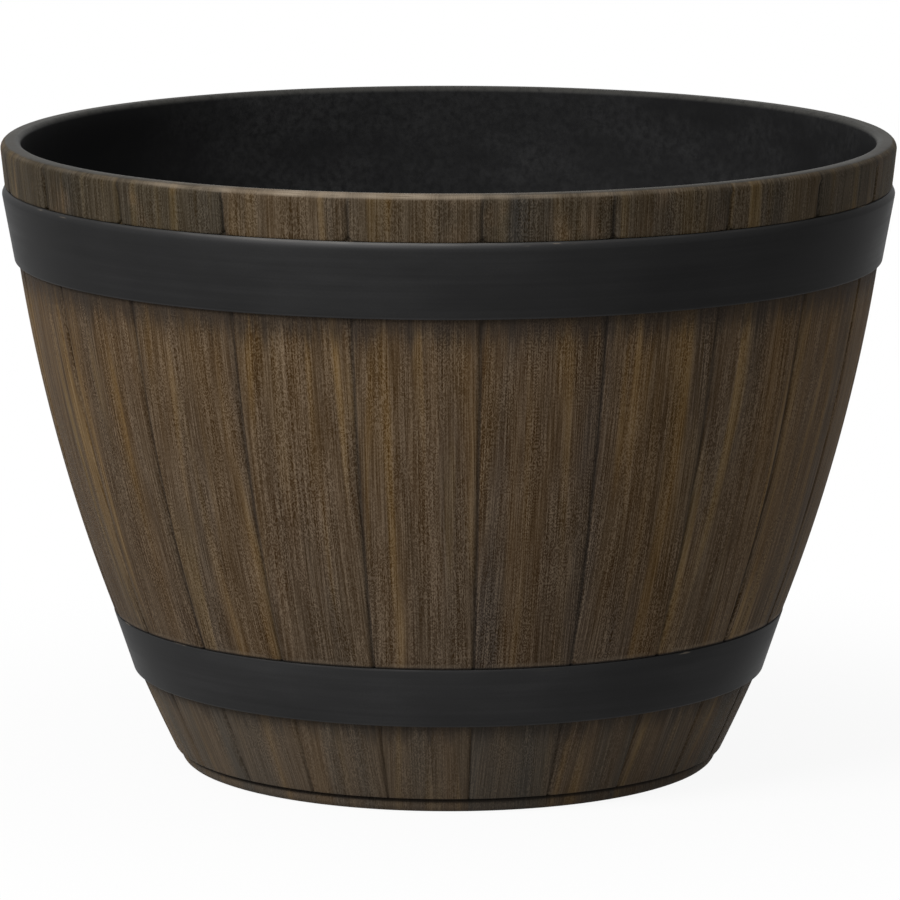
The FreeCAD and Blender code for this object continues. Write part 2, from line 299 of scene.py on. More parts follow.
def pick(test):
    """Selects the points of the mesh in edit mode whose place passes the test, and lists them."""
    bpy.ops.mesh.select_all(action="DESELECT")
    bpy.ops.mesh.select_mode(type="VERT")
    cage = bmesh.from_edit_mesh(bpy.context.object.data)
    found = [point for point in cage.verts if test(point.co)]
    for point in found:
        point.select = True
    places = [point.co.copy() for point in found]
    cage.select_flush(True)
    bmesh.update_edit_mesh(bpy.context.object.data)
    return places


def pick_faces(test):
    """Selects the faces of the mesh in edit mode whose middle and normal pass the test."""
    bpy.ops.mesh.select_all(action="DESELECT")
    bpy.ops.mesh.select_mode(type="FACE")
    cage = bmesh.from_edit_mesh(bpy.context.object.data)
    for face in cage.faces:
        if test(face.calc_center_median(), face.normal):
            face.select_set(True)
    bmesh.update_edit_mesh(bpy.context.object.data)


def draw_outline(name, outline, direction):
    """Starts a piece as one point of its section and extrudes it from point to point.

    The outline's points are a radius and a height, drawn in the upright plane of the direction.
    """
    fresh_start()
    across, along = direction
    spots = [(radius * across, radius * along, height) for radius, height in outline]
    bpy.ops.mesh.primitive_plane_add(size=0.002, location=spots[0])
    piece = bpy.context.object
    piece.name = piece.data.name = name
    bpy.ops.object.transform_apply(location=True, rotation=True, scale=True)
    bpy.ops.object.mode_set(mode="EDIT")
    bpy.ops.mesh.select_all(action="SELECT")
    bpy.ops.mesh.merge(type="CENTER")
    for start, end in zip(spots, spots[1:]):
        step = tuple(b - a for a, b in zip(start, end))
        bpy.ops.mesh.extrude_vertices_move(TRANSFORM_OT_translate={"value": step})
    return piece


def spin(angle, steps, copies=False):
    """Turns the selection about the planter's axis, drawn out as a skin or set down as copies."""
    bpy.ops.mesh.spin(steps=steps, dupli=copies, angle=angle, use_auto_merge=False,
                      use_normal_flip=False, center=(0, 0, 0), axis=(0, 0, 1))


def close_up(gap=0.00002):
    """Merges points that lie closer than the gap, turns every face outwards and ends edit mode."""
    bpy.ops.mesh.select_all(action="SELECT")
    bpy.ops.mesh.remove_doubles(threshold=gap)
    bpy.ops.mesh.select_all(action="SELECT")
    bpy.ops.mesh.normals_make_consistent(inside=False)
    bpy.ops.mesh.select_all(action="DESELECT")
    bpy.ops.object.mode_set(mode="OBJECT")


def merge_slivers():
    """Merges what a rounding or a weld leaves too thin on the active piece."""
    bpy.ops.object.mode_set(mode="EDIT")
    close_up(0.00001)


def round_edges(piece, width, rounds=2, angle=25.0):
    """Rounds every edge that is sharper than the angle, in degrees."""
    bevel = piece.modifiers.new("edge_rounding", "BEVEL")
    bevel.width = width
    bevel.segments = rounds
    bevel.limit_method = "ANGLE"
    bevel.angle_limit = radians(angle)
    bpy.ops.object.modifier_apply(modifier=bevel.name)
    merge_slivers()


def hand_over(piece, body, node, material, angle=50.0):
    """Smooths a finished piece, dresses it and sets it in the frame in place of its CAD node."""
    fresh_start()
    bpy.context.view_layer.objects.active = piece
    piece.select_set(True)
    bpy.ops.object.shade_smooth_by_angle(angle=radians(angle))
    if not piece.data.polygons:
        raise RuntimeError(piece.name + " has no faces")
    piece.data.materials.clear()
    piece.data.materials.append(material)
    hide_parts(node)
    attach(piece, body)
    piece.select_set(False)


class Recipe:
    """The nodes of a material or world in the making. Most calls add a node and give its output."""

    def __init__(self, owner):
        self.owner = owner
        owner.use_nodes = True
        self.tree = owner.node_tree
        self.tree.nodes.clear()

    def node(self, kind, inputs=(), **settings):
        made = self.tree.nodes.new(kind)
        for key, value in settings.items():
            setattr(made, key, value)
        for key, value in dict(inputs).items():
            self.feed(made.inputs[key], value)
        return made

    def feed(self, socket, value):
        if isinstance(value, bpy.types.NodeSocket):
            self.tree.links.new(value, socket)
        elif socket.type == "RGBA":
            socket.default_value = (*tuple(value)[:3], 1.0)
        else:
            socket.default_value = value

    def place(self):
        return self.node("ShaderNodeTexCoord").outputs["Object"]

    def math(self, operation, *values):
        return self.node("ShaderNodeMath", enumerate(values), operation=operation).outputs[0]

    def add(self, *values):
        total = values[0]
        for value in values[1:]:
            total = self.math("ADD", total, value)
        return total

    def times(self, *values):
        product = values[0]
        for value in values[1:]:
            product = self.math("MULTIPLY", product, value)
        return product

    def most(self, *values):
        greatest = values[0]
        for value in values[1:]:
            greatest = self.math("MAXIMUM", greatest, value)
        return greatest

    def line(self, value, slope, base):
        """The value times a slope, over a base."""
        return self.math("MULTIPLY_ADD", value, slope, base)

    def swing(self, value, share):
        """A value from 0 to 1 as a swing about nothing, times its share."""
        return self.line(value, share, -0.5 * share)

    def rest(self, share):
        """What a share leaves over."""
        return self.math("SUBTRACT", 1.0, share)

    def step(self, value, low, high, least=0.0, most=1.0):
        """Rises smoothly from the least at low to the most at high, or falls if low is greater."""
        return self.node("ShaderNodeMapRange", {0: value, 1: low, 2: high, 3: least, 4: most},
                         interpolation_type="SMOOTHSTEP").outputs[0]

    def band(self, value, rise, fall):
        """1 between a rise and a fall, each given as the two values that it lies between."""
        return self.times(self.step(value, *rise), self.step(value, *fall))

    def vector(self, x, y, z):
        return self.node("ShaderNodeCombineXYZ", {0: x, 1: y, 2: z}).outputs[0]

    def stretch(self, vector, x, y, z):
        return self.node("ShaderNodeVectorMath", {0: vector, 1: (x, y, z)},
                         operation="MULTIPLY").outputs[0]

    def noise(self, vector, detail=2.0, roughness=0.5):
        return self.node("ShaderNodeTexNoise", {
            "Vector": vector, "Scale": 1.0, "Detail": detail, "Roughness": roughness},
            noise_dimensions="3D").outputs[0]

    def grained(self, kind, across, up, seed=0.0):
        """A noise drawn out along the grain. The seed gives each stave a place of its own in it."""
        depth = self.add(seed, kind.shift) if seed else kind.shift
        place = self.vector(self.times(across, kind.across), self.times(up, kind.up), depth)
        return self.noise(place, kind.detail, kind.roughness)

    def blend(self, share, under, over, mode="MIX"):
        return self.node("ShaderNodeMix", {0: share, 6: under, 7: over}, data_type="RGBA",
                         blend_type=mode).outputs[2]

    def tint(self, value, stops, between="LINEAR"):
        """Colours along a ramp, each at its place from 0 to 1."""
        made = self.node("ShaderNodeValToRGB", {0: value})
        ramp = made.color_ramp
        ramp.interpolation = between
        while len(ramp.elements) < len(stops):
            ramp.elements.new(0.5)
        for element, (place, shade) in zip(ramp.elements, stops):
            element.position = place
            element.color = (*tuple(shade)[:3], 1.0)
        return made.outputs[0]

    def bump(self, height, distance):
        return self.node("ShaderNodeBump", {"Height": height, "Distance": distance,
                                            "Strength": 0.5}).outputs[0]

    def finish(self, shade, roughness, normal, gloss):
        """Ends in one Principled shader. The gloss is the same all over, so the shader holds it."""
        shader = self.node("ShaderNodeBsdfPrincipled", {
            "Base Color": shade, "Roughness": roughness, "Normal": normal})
        shader.inputs["Specular IOR Level"].default_value = gloss
        self.node("ShaderNodeOutputMaterial", {0: shader.outputs[0]})
        return self.owner


def new_material(name):
    """A recipe for a new material."""
    return Recipe(bpy.data.materials.new(name))


def around_axis(r, start):
    """Angle about the planter's axis from the first seam, radius and height of each place."""
    turned = r.node("ShaderNodeMapping", {"Vector": r.place(), "Rotation": (0.0, 0.0, -start)})
    x, y, z = r.node("ShaderNodeSeparateXYZ", {0: turned.outputs[0]}).outputs
    angle = r.math("ARCTAN2", x, r.times(y, -1.0))
    radius = r.math("SQRT", r.line(x, x, r.times(y, y)))
    return angle, radius, z


def facing_side(r, angle, middle, sharpness):
    """1 on the side that the middle names, an angle in radians, and falling off round from it."""
    return r.math("POWER", r.most(r.math("COSINE", r.add(angle, -middle)), 0.0), sharpness)


def worn_and_lit_side(r, angle, sharpness, least):
    """How worn each side is, and how much painted highlight it takes where the key light falls:
    most on the front, a little left of its middle.
    """
    return r.line(facing_side(r, angle, -0.28, sharpness), 1.0 - least, least)


class Staves:
    """The staves as the glaze sees them: places on each, its own settings and its grain."""

    def __init__(self, r, sizes):
        self.angle, self.radius, self.z = around_axis(r, sizes.stave_turn)
        per_turn = sizes.staves / tau
        count = r.times(self.angle, per_turn)
        self.number = r.math("FLOOR", count)
        part = r.math("SUBTRACT", r.math("FRACT", count), 0.5)
        width = r.math("DIVIDE", self.radius, per_turn)
        self.across = r.times(part, width)
        self.seam = r.times(r.math("SUBTRACT", 0.5, r.math("ABSOLUTE", part)), width)
        self.seed = r.times(self.number, 7.31)
        place = r.math("DIVIDE", r.add(self.number, sizes.staves / 2 + 0.5), sizes.staves)
        stops = [(i / len(GLAZE), glaze) for i, glaze in enumerate(GLAZE)]
        plan = r.tint(place, stops, "CONSTANT")
        self.light, self.dark, self.grime = r.node("ShaderNodeSeparateColor", {0: plan}).outputs
        self.foot = r.step(self.z, LOWER_HIGH, LOWER_LOW)
        self.collar = r.step(self.z, UPPER_LOW, UPPER_HIGH)
        # Wear, and painted highlight where the key light falls, most on the front.
        self.worn_and_lit = worn_and_lit_side(r, self.angle, 10.0, 0.12)

        # Fine raised lines run down each stave, and break up into short dashes in places.
        drift = r.grained(DRIFT, self.across, self.z, self.seed)
        self.drifted = r.add(self.across, r.swing(drift, 0.004))
        self.streak = self.grain(r, STREAK)
        self.dashes = r.line(r.math("SINE", r.times(self.grain(r, MAZE), 18.0)), 0.5, 0.5)
        broken = r.step(self.grain(r, BROKEN), 0.36, 0.62)
        lined = r.step(self.grain(r, LINES), 0.24, 0.76)
        dashed = r.times(r.swing(self.dashes, 1.0), r.line(broken, 0.60, 0.40))
        self.ridge = r.add(r.swing(lined, 0.64), r.times(dashed, 0.60))

    def grain(self, r, kind):
        """A noise that follows the drifting grain of each stave."""
        return r.grained(kind, self.drifted, self.z, self.seed)


def glazed_wood(r, finish, staves):
    """Walnut glaze: golden where it is thin, charcoal where it pooled, and lined by the grain."""
    rise = r.most(r.math("SUBTRACT", staves.z, MID_HEIGHT), -0.09)
    tone = r.add(0.455, r.swing(staves.grain(r, BROAD), 0.40), r.swing(staves.streak, 0.04),
                 r.swing(staves.light, 0.18), r.times(rise, 0.25))
    wood = r.tint(tone, [(0.0, finish.walnut_dark), (0.5, finish.walnut),
                         (1.0, finish.walnut_light)])
    gold = r.times(r.step(staves.grain(r, GOLD), 0.50, 0.70), r.step(tone, 0.30, 0.66))
    wood = r.blend(r.times(gold, 0.72), wood, finish.golden)
    pool = r.times(r.step(staves.grain(r, POOL), 0.44, 0.74), r.line(staves.dark, 0.75, 0.10))
    wood = r.blend(pool, wood, finish.charcoal)
    drying = r.add(staves.grain(r, DRYING), r.times(rise, 1.1))
    cast = r.tint(drying, [(0.32, finish.cool_cast), (0.5, (1.0, 1.0, 1.0)),
                           (0.68, finish.warm_cast)])
    wood = r.blend(1.0, wood, cast, "MULTIPLY")

    # A dull film on the foot and the rim's collar softens the grain. The foot is painted lighter on
    # its left, as painted light from the left.
    foot_film = r.line(r.step(tone, 0.53, 0.31), 0.36, 0.04)
    wood = r.blend(r.times(staves.foot, foot_film), wood, finish.film)
    wood = r.blend(r.times(staves.collar, 0.20), wood, finish.film)
    painted_light_left = facing_side(r, staves.angle, -1.0, 3.0)
    wood = r.blend(r.times(staves.foot, painted_light_left, 0.06), wood, finish.dry_brush_and_light)
    bold = r.rest(r.add(r.times(staves.foot, 0.42), r.times(staves.collar, 0.10)))
    fine = r.times(staves.ridge, bold)
    lines = r.blend(1.0, wood, finish.grain_dark, "MULTIPLY")
    wood = r.blend(r.times(fine, -1.75), wood, lines)
    return r.blend(r.times(fine, 0.46), wood, finish.grain_light)


def darken_with_glaze_and_shade(r, finish, staves, wood):
    """Dark glaze and painted shade below each hoop and along the seams."""
    z = staves.z
    patch = r.grained(PATCH, staves.across, z, staves.seed)
    ragged_z = r.add(z, r.swing(patch, 0.030))
    glaze_and_shade_below = []
    # Below each hoop: dark fingers and a dense band, partly dark glaze and partly painted shade.
    for edge, run, dense, most in GLAZE_AND_SHADE_UNDER_HOOPS:
        below = r.step(z, edge + 0.002, edge + 0.001)
        fingers = r.times(r.step(z, edge - run, edge), r.step(patch, 0.25, 0.75))
        solid = r.times(r.step(ragged_z, edge - dense, edge - 0.002), most)
        glaze_and_shade_below.append(r.times(r.most(fingers, solid), below))
    wood = r.blend(r.times(r.most(*glaze_and_shade_below), 0.85), wood, finish.dark_glaze_and_shade)
    # Along each seam: a dark line in the groove, partly dark glaze and partly painted shade, and a
    # soft painted shade beside it.
    wander = r.noise(r.vector(staves.number, r.times(z, 70.0), 5.0))
    line = r.add(staves.seam, r.swing(wander, 0.0012))
    seam_shade = r.times(r.step(line, 0.0050, 0.0010), r.step(patch, 0.30, 0.75),
                   r.line(staves.foot, -0.16, 0.30))
    seam_glaze_and_shade = r.times(r.step(line, 0.0014, 0.0004), r.line(staves.foot, -0.41, 0.50))
    return r.blend(r.most(seam_glaze_and_shade, seam_shade), wood, finish.dark_glaze_and_shade)


def grime_brush_and_painted_light(r, sizes, finish, staves, wood):
    """Grime on the rim's collar; dry brush with painted highlight on the rim and over the lower
    hoop; painted shade in the corner over the lower hoop and in the foot's trough; charcoal on the
    bead.
    """
    z, top, ledge = staves.z, sizes.height, LOWER_HIGH
    smudge = r.grained(SMUDGE, staves.across, z, staves.seed)
    soiled = r.times(r.step(z, UPPER_HIGH - 0.002, UPPER_HIGH - 0.001),
                     r.step(smudge, 0.19, 0.49), r.line(staves.grime, 0.84, 0.18))
    wood = r.blend(soiled, wood, r.blend(1.0, wood, finish.grime, "MULTIPLY"))
    # Painted shade in the corner where the wall meets the lower hoop's top.
    corner_shade = r.band(z, (ledge - 0.0010, ledge - 0.0002), (ledge + 0.0017, ledge + 0.0009))
    wood = r.blend(r.times(corner_shade, 0.85), wood, finish.dark_glaze_and_shade)
    # A lighter strip just above the lower hoop, away from the seams: partly tan dry brush, partly a
    # painted highlight.
    lip = r.times(r.band(z, (ledge + 0.0010, ledge + 0.0018), (ledge + 0.0040, ledge + 0.0024)),
                  r.step(staves.seam, 0.004, 0.012))
    sweep = r.times(staves.angle, 9.0)
    brushed = r.noise(r.vector(sweep, r.times(staves.radius, 900.0), r.times(z, 500.0)), 3.0, 0.65)
    patchy = r.noise(r.vector(sweep, 4.0, 8.0))
    # Tan dry brush along the rim's rounding, strongest on the front: partly dry brush, partly a
    # painted highlight.
    rim = r.times(r.step(z, top - 0.0031, top - 0.0013), r.step(brushed, 0.10, 0.55),
                  r.line(r.step(patchy, 0.32, 0.68), 0.65, 0.35), staves.worn_and_lit)
    wood = r.blend(r.most(r.times(lip, 0.10), rim), wood, finish.dry_brush_and_light)
    bead = r.step(z, 0.0092, 0.0082)
    wood = r.blend(r.times(bead, 0.12), wood, finish.charcoal)
    # Painted shade in the trough over the foot's bead.
    trough = r.band(z, (0.0058, 0.0068), (0.0094, 0.0086))
    return r.blend(r.times(trough, 0.68), wood, finish.dark_glaze_and_shade)


def painted_share(r, sizes, staves):
    """1 on the glazed outside and 0 on bare resin, which begins raggedly on the rim's rounding."""
    z, top = staves.z, sizes.height
    drop = r.math("SUBTRACT", sizes.bow_height, z)
    reach = r.math("SQRT", r.math("SUBTRACT", sizes.bow_radius ** 2, r.times(drop, drop)))
    depth = r.math("SUBTRACT", r.add(staves.radius, sizes.bow_back), reach)
    ragged = r.grained(PAINT_EDGE, staves.angle, z)
    painted = r.add(depth, r.swing(ragged, 0.0012))
    # The crest is bare resin except on the front, where the glaze reaches over it as part of the
    # painted highlight there.
    bare_crest = r.times(r.step(z, top - 0.0042, top - 0.0036), r.step(painted, 0.0002, -0.0012),
                         r.rest(staves.worn_and_lit))
    return r.times(r.step(painted, -0.0064, -0.0056), r.rest(bare_crest))


def walnut_glaze(sizes, finish):
    """Moulded wood grain under a wiped walnut glaze outside, and bare black resin inside."""
    r = new_material("walnut_resin_glaze")
    staves = Staves(r, sizes)
    wood = darken_with_glaze_and_shade(r, finish, staves, glazed_wood(r, finish, staves))
    wood = grime_brush_and_painted_light(r, sizes, finish, staves, wood)
    outside = painted_share(r, sizes, staves)

    place, top = r.place(), sizes.height
    smear = r.noise(r.stretch(place, 7.0, 7.0, 14.0), 4.0, 0.6)
    speck = r.noise(r.stretch(place, 230.0, 230.0, 230.0), 3.0, 0.7)
    dusty = r.times(r.step(smear, 0.38, 0.75), r.step(speck, 0.2, 0.8))
    inside = r.blend(dusty, finish.resin, finish.dust)
    # Scuffed grey along the top of the rim, partly a painted sheen.
    scuffs_and_sheen = r.times(r.step(staves.z, top - 0.0034, top - 0.0008), r.step(speck, 0.05, 0.6))
    inside = r.blend(scuffs_and_sheen, inside, finish.crest)
    shade = r.blend(outside, inside, wood)

    rough_wood = r.line(staves.dashes, 0.25, 0.52)
    rough_resin = r.line(dusty, 0.25, 0.42)
    rough = r.node("ShaderNodeMix", {0: outside, 2: rough_resin, 3: rough_wood}).outputs[0]
    relief = r.add(r.times(staves.ridge, 0.8), r.swing(staves.streak, 0.3))
    relief = r.add(r.times(relief, outside), r.swing(speck, 0.08))
    return r.finish(shade, rough, r.bump(relief, 0.0003), 0.018)


def hoop_satin(name, sizes, finish, box, look):
    """Satin black, faintly streaked along the band, with a painted sheen on the front; rubbed grey
    along its edges, and a painted highlight on the top edge.
    """
    r = new_material(name)
    angle, radius, z = around_axis(r, sizes.stave_turn)
    low, high = box[0][2], box[1][2]
    along = r.times(angle, radius)
    streak = r.grained(HOOP_STREAK, along, z)
    cloud = r.grained(HOOP_CLOUD, along, z)
    pit = r.grained(HOOP_PIT, along, z)
    rub = r.grained(HOOP_RUB, along, z)
    # A painted sheen on the front of the hoop, where the key light's reflection falls.
    painted_sheen = r.line(worn_and_lit_side(r, angle, 10.0, 0.0), 0.25 * look.wear_and_sheen, -0.13 * look.wear_and_sheen)
    tone = r.add(0.5, r.swing(streak, 0.5), r.swing(cloud, 0.6), r.swing(pit, 0.25), painted_sheen)
    black = r.tint(tone, [(place, [share * look.tone * v for v in finish.hoop])
                          for place, share in ((0.1, 0.72), (0.5, 1.0), (0.9, 1.45))])
    face_top = high - look.edge
    # The top edge is rubbed grey and carries a painted highlight, strongest on the front.
    worn_and_lit = r.times(worn_and_lit_side(r, angle, 20.0, 0.09), look.wear_and_sheen)
    top_wear_and_highlight = r.times(r.step(z, face_top, face_top + 0.0030), r.line(rub, 0.5, 0.45), worn_and_lit)
    low_edge = r.times(r.step(z, low + 0.0014, low + 0.0002), rub, 0.28)
    black = r.blend(r.add(top_wear_and_highlight, low_edge), black, finish.hoop_rub_and_highlight)
    # The topmost edge shows bare and bright: partly wear, partly a painted highlight.
    worn_highlight = r.times(r.step(z, high - 0.0017, high - 0.0006),
                     r.line(r.step(rub, 0.35, 0.65), 0.6, 0.4), worn_and_lit)
    black = r.blend(worn_highlight, black, finish.hoop_bare_edge_and_highlight)
    dabbed = r.noise(r.vector(r.times(along, 9.0), 3.0, 1.0), 1.0)
    dab = r.times(r.step(rub, 0.60, 0.66), r.step(z, high - 0.0022, high - 0.0006),
                  r.step(dabbed, 0.5, 0.62))
    black = r.blend(r.times(dab, 0.8), black, finish.dry_brush_and_light)
    rough = r.add(0.42, r.swing(cloud, 0.16), r.swing(streak, 0.12))
    relief = r.add(r.swing(streak, 0.5), r.swing(cloud, 0.6), r.swing(pit, 0.25))
    return r.finish(black, rough, r.bump(relief, 0.00015), 0.012)


def plug_rubber(finish):
    """Matte moulded rubber with a fine bloom."""
    r = new_material("plug_rubber_matte")
    place = r.place()
    bloom = r.noise(r.stretch(place, 160.0, 160.0, 160.0), 4.0, 0.6)
    pore = r.noise(r.stretch(place, 1800.0, 1800.0, 1800.0))
    black = r.tint(r.add(bloom, r.swing(pore, 0.3)),
                   [(spot, [share * v for v in finish.rubber])
                    for spot, share in ((0.3, 0.7), (0.5, 1.0), (0.75, 2.0))])
    rough = r.line(bloom, 0.25, 0.60)
    relief = r.add(r.swing(pore, 0.6), r.swing(bloom, 0.4))
    return r.finish(black, rough, r.bump(relief, 0.0002), 0.2)


def bow(sizes, height, offset=0.0):
    """Radius of the bowed wall at a height, with an offset outwards from its outside."""
    drop = sizes.bow_height - height
    return sqrt((sizes.bow_radius + offset) ** 2 - drop ** 2) - sizes.bow_back


def arc(radius, height, size, start, end, steps):
    """Points along a round corner, from one angle to another in degrees, 0 outwards and 90 up."""
    turns = [radians(start + (end - start) * i / steps) for i in range(steps + 1)]
    return [(radius + size * cos(angle), height + size * sin(angle)) for angle in turns]


def levels(low, high, steps):
    """Evenly spaced heights, both ends included."""
    return [low + (high - low) * i / steps for i in range(steps + 1)]


def hoop_seat(base, low, back, high):
    """A hoop's seat: halfway up its sloping back, then the corner under its shoulder."""
    return [((base + back) / 2, (low + high) / 2), (back, high - SEAT_NOTCH)]


def shell_outline(sizes):
    """Section of the moulding: out under the foot, up the wall, over the rim and down inside."""
    low, floor, top, rim = sizes.recess, sizes.floor_top, sizes.height, sizes.rim_radius
    hole = sizes.drain_radius
    foot_in = sizes.foot_radius - FOOT_RING
    under = [(hole + DRAIN_EDGE, low), *((radius, low) for radius in RECESS_RINGS),
             (foot_in - RECESS_ROUND, low), (foot_in - RECESS_BEVEL, low - RECESS_BEVEL),
             (foot_in, low - RECESS_ROUND), (foot_in, FOOT_EDGE), (foot_in + FOOT_EDGE, 0.0)]
    bead = arc(sizes.foot_radius - BEAD_ROUND, BEAD_ROUND, BEAD_ROUND, -90, 18, 7)
    trough = [*TROUGH, (bow(sizes, TROUGH_LIP) - 0.0003, TROUGH_LIP - 0.0004)]
    wall = [(bow(sizes, z), z) for z in levels(WALL_FOOT, LOWER_LOW, 8)]
    ledge = bow(sizes, LOWER_LIP)
    seat = hoop_seat(bow(sizes, LOWER_LOW), LOWER_LOW, ledge - LOWER_SEAT, LOWER_LIP)
    edge = [(ledge - 0.0004, LOWER_LIP)]
    body = [(bow(sizes, z), z) for z in levels(LOWER_LIP + 0.0006, UPPER_LOW + 0.003, 30)]

    neck_low, neck_high = bow(sizes, COLLAR, sizes.rim_proud), top - sizes.rim_round
    band = hoop_seat(bow(sizes, UPPER_LOW), UPPER_LOW, neck_low - UPPER_SEAT, COLLAR)
    lip = [(neck_low - 0.0005, COLLAR), (neck_low - 0.0001, COLLAR + COLLAR_CORNER[1][0])]
    heights = [COLLAR + level for level, _ in COLLAR_CORNER[2:]]
    heights += levels(COLLAR + 0.0075, neck_high, 6)[:-1]
    lean = (rim - neck_low) / (neck_high - COLLAR)
    neck = [(neck_low + lean * (z - COLLAR), z) for z in heights]
    crest = arc(rim - sizes.rim_round, neck_high, sizes.rim_round, 0, 90, 7)

    inside, floor_bend = -sizes.wall, floor + FLOOR_ROUND
    mouth = bow(sizes, RIM_BEND, inside)
    roll = arc(mouth + RIM_ROLL, top - RIM_ROLL, RIM_ROLL, 90, 180, 5)
    throat = [(mouth, z) for z in levels(top - THROAT, RIM_BEND, 2)]
    lining = [(bow(sizes, z, inside), z) for z in levels(RIM_BEND, floor_bend, 24)[1:]]
    corner = arc(bow(sizes, floor_bend, inside) - FLOOR_ROUND_IN, floor_bend, FLOOR_ROUND,
                 -12, -90, 5)
    ground = [(radius, floor) for radius in FLOOR_RINGS]
    drain = [(hole + DRAIN_EDGE, floor), (hole, floor - DRAIN_EDGE), (hole, low + DRAIN_EDGE),
             (hole + DRAIN_EDGE, low)]
    return (under + bead + trough + wall + seat + edge + body + band + lip + neck
            + crest + roll + throat + lining + corner + ground + drain)


def make_shell(sizes, finish):
    """Turns one stave of the section, presses its seams in and copies it round the axis."""
    start = (sin(sizes.stave_turn), -cos(sizes.stave_turn))
    shell = draw_outline("planter_shell", shell_outline(sizes), start)
    sector = tau / sizes.staves
    unit = sizes.seam_width / 2 / bow(sizes, MID_HEIGHT)
    seam = [(place * unit, share) for place, share in SEAM_SECTION]
    near = [place for place, _ in seam]
    middle = levels(near[-1], sector - near[-1], STAVE_COLUMNS)[1:-1]
    columns = near + middle + [sector - place for place in reversed(near)]

    bpy.ops.mesh.select_all(action="SELECT")
    for before, after in zip(columns, columns[1:]):
        spin(after - before, 1)

    def press(column, low, high, depth, lift=0.0):
        """Moves one column of the wall's outside inwards, and up, between two heights."""
        def on_column(place):
            swept = (atan2(place.x, -place.y) - sizes.stave_turn) % tau
            if not low <= place.z <= high or abs(min(swept, tau - swept) - column) > NEAR:
                return False
            return hypot(place.x, place.y) > bow(sizes, place.z) - 0.0020
        places = pick(on_column)
        if not places:
            raise RuntimeError("a seam of the shell found no points to press in")
        spot = places[0]
        inwards = -depth / hypot(spot.x, spot.y)
        bpy.ops.transform.translate(value=(inwards * spot.x, inwards * spot.y, lift))

    fade, end = sizes.height - SEAM_FADE, sizes.height - SEAM_END
    for column, share in seam + [(sector - place, share) for place, share in seam]:
        depth = share * sizes.seam_depth
        if depth:
            press(column, SEAM_LOW, LOWER_LOW + NEAR, depth)
            press(column, LOWER_HIGH + NEAR, UPPER_LOW + 0.0035, depth)
            press(column, COLLAR - 0.00005, fade, depth)
            press(column, fade, end, SEAM_FADED * depth)
        for level, part in COLLAR_CORNER:
            lift = part * CORNER_LIFT * (CORNER_LEAST + (1.0 - CORNER_LEAST) * share)
            place = COLLAR + level
            press(column, place - 0.00011, place + 0.00005, CORNER_TUCK * lift, lift)

    bpy.ops.mesh.select_all(action="SELECT")
    spin(tau, sizes.staves, copies=True)
    close_up()
    hand_over(shell, "tub", "barrel_shell", walnut_glaze(sizes, finish))


def upper_section(sizes):
    """Section of the upper hoop, with a bevel under the rim's collar."""
    base, neck = bow(sizes, UPPER_LOW), bow(sizes, UPPER_HIGH, sizes.rim_proud)
    bevel = UPPER_HIGH - UPPER_BEVEL
    return [(base + HOOP_GAP, UPPER_LOW), (base + UPPER_STAND_LOW, UPPER_LOW),
            (bow(sizes, bevel) + UPPER_STAND_HIGH, bevel), (neck, UPPER_HIGH),
            (neck - UPPER_BACK, UPPER_HIGH)]


def lower_section(sizes):
    """Section of the lower hoop, which runs out flush with the wall at its top."""
    base, crown = bow(sizes, LOWER_LOW), bow(sizes, LOWER_HIGH)
    return [(base + HOOP_GAP, LOWER_LOW), (base + LOWER_STAND_LOW, LOWER_LOW),
            (crown + LOWER_STAND_HIGH, LOWER_HIGH), (crown - LOWER_BACK, LOWER_HIGH)]


def make_hoop(name, section, rounding, node, material):
    """Draws a hoop's section, turns it once round and rounds its edges."""
    hoop = draw_outline(name, section + section[:1], (0.0, -1.0))
    bpy.ops.mesh.select_all(action="SELECT")
    spin(tau, HOOP_STEPS)
    close_up()
    round_edges(hoop, rounding, 3)
    hand_over(hoop, "tub", node, material)


def make_stopper(sizes, seat):
    """Shapes the plug's flange, dished on top, and its stem from one disc."""
    flange = PLUG_BOX[1][0]
    fresh_start()
    bpy.ops.mesh.primitive_cylinder_add(vertices=96, radius=flange, depth=FLANGE,
                                        location=(0.0, 0.0, seat + FLANGE / 2))
    plug = bpy.context.object
    plug.name = plug.data.name = "drain_plug_rubber"
    bpy.ops.object.transform_apply(location=True, rotation=True, scale=True)
    bpy.ops.object.mode_set(mode="EDIT")
    pick_faces(lambda spot, facing: facing.z < -0.9)
    bpy.ops.mesh.inset(thickness=flange - sizes.drain_radius + STEM_GAP)
    for drop, narrow in STEM:
        bpy.ops.mesh.extrude_region_move(TRANSFORM_OT_translate={"value": (0.0, 0.0, drop)})
        bpy.ops.transform.resize(value=(narrow, narrow, 1.0), center_override=(0.0, 0.0, seat))
    pick_faces(lambda spot, facing: facing.z > 0.9)
    bpy.ops.mesh.inset(thickness=DISH_RIM)
    bpy.ops.mesh.inset(thickness=DISH_SLOPE)
    bpy.ops.transform.translate(value=(0.0, 0.0, -DISH_DEPTH))
    bpy.ops.object.mode_set(mode="OBJECT")
    round_edges(plug, sizes.plug_edge, 2, 40.0)
    return plug


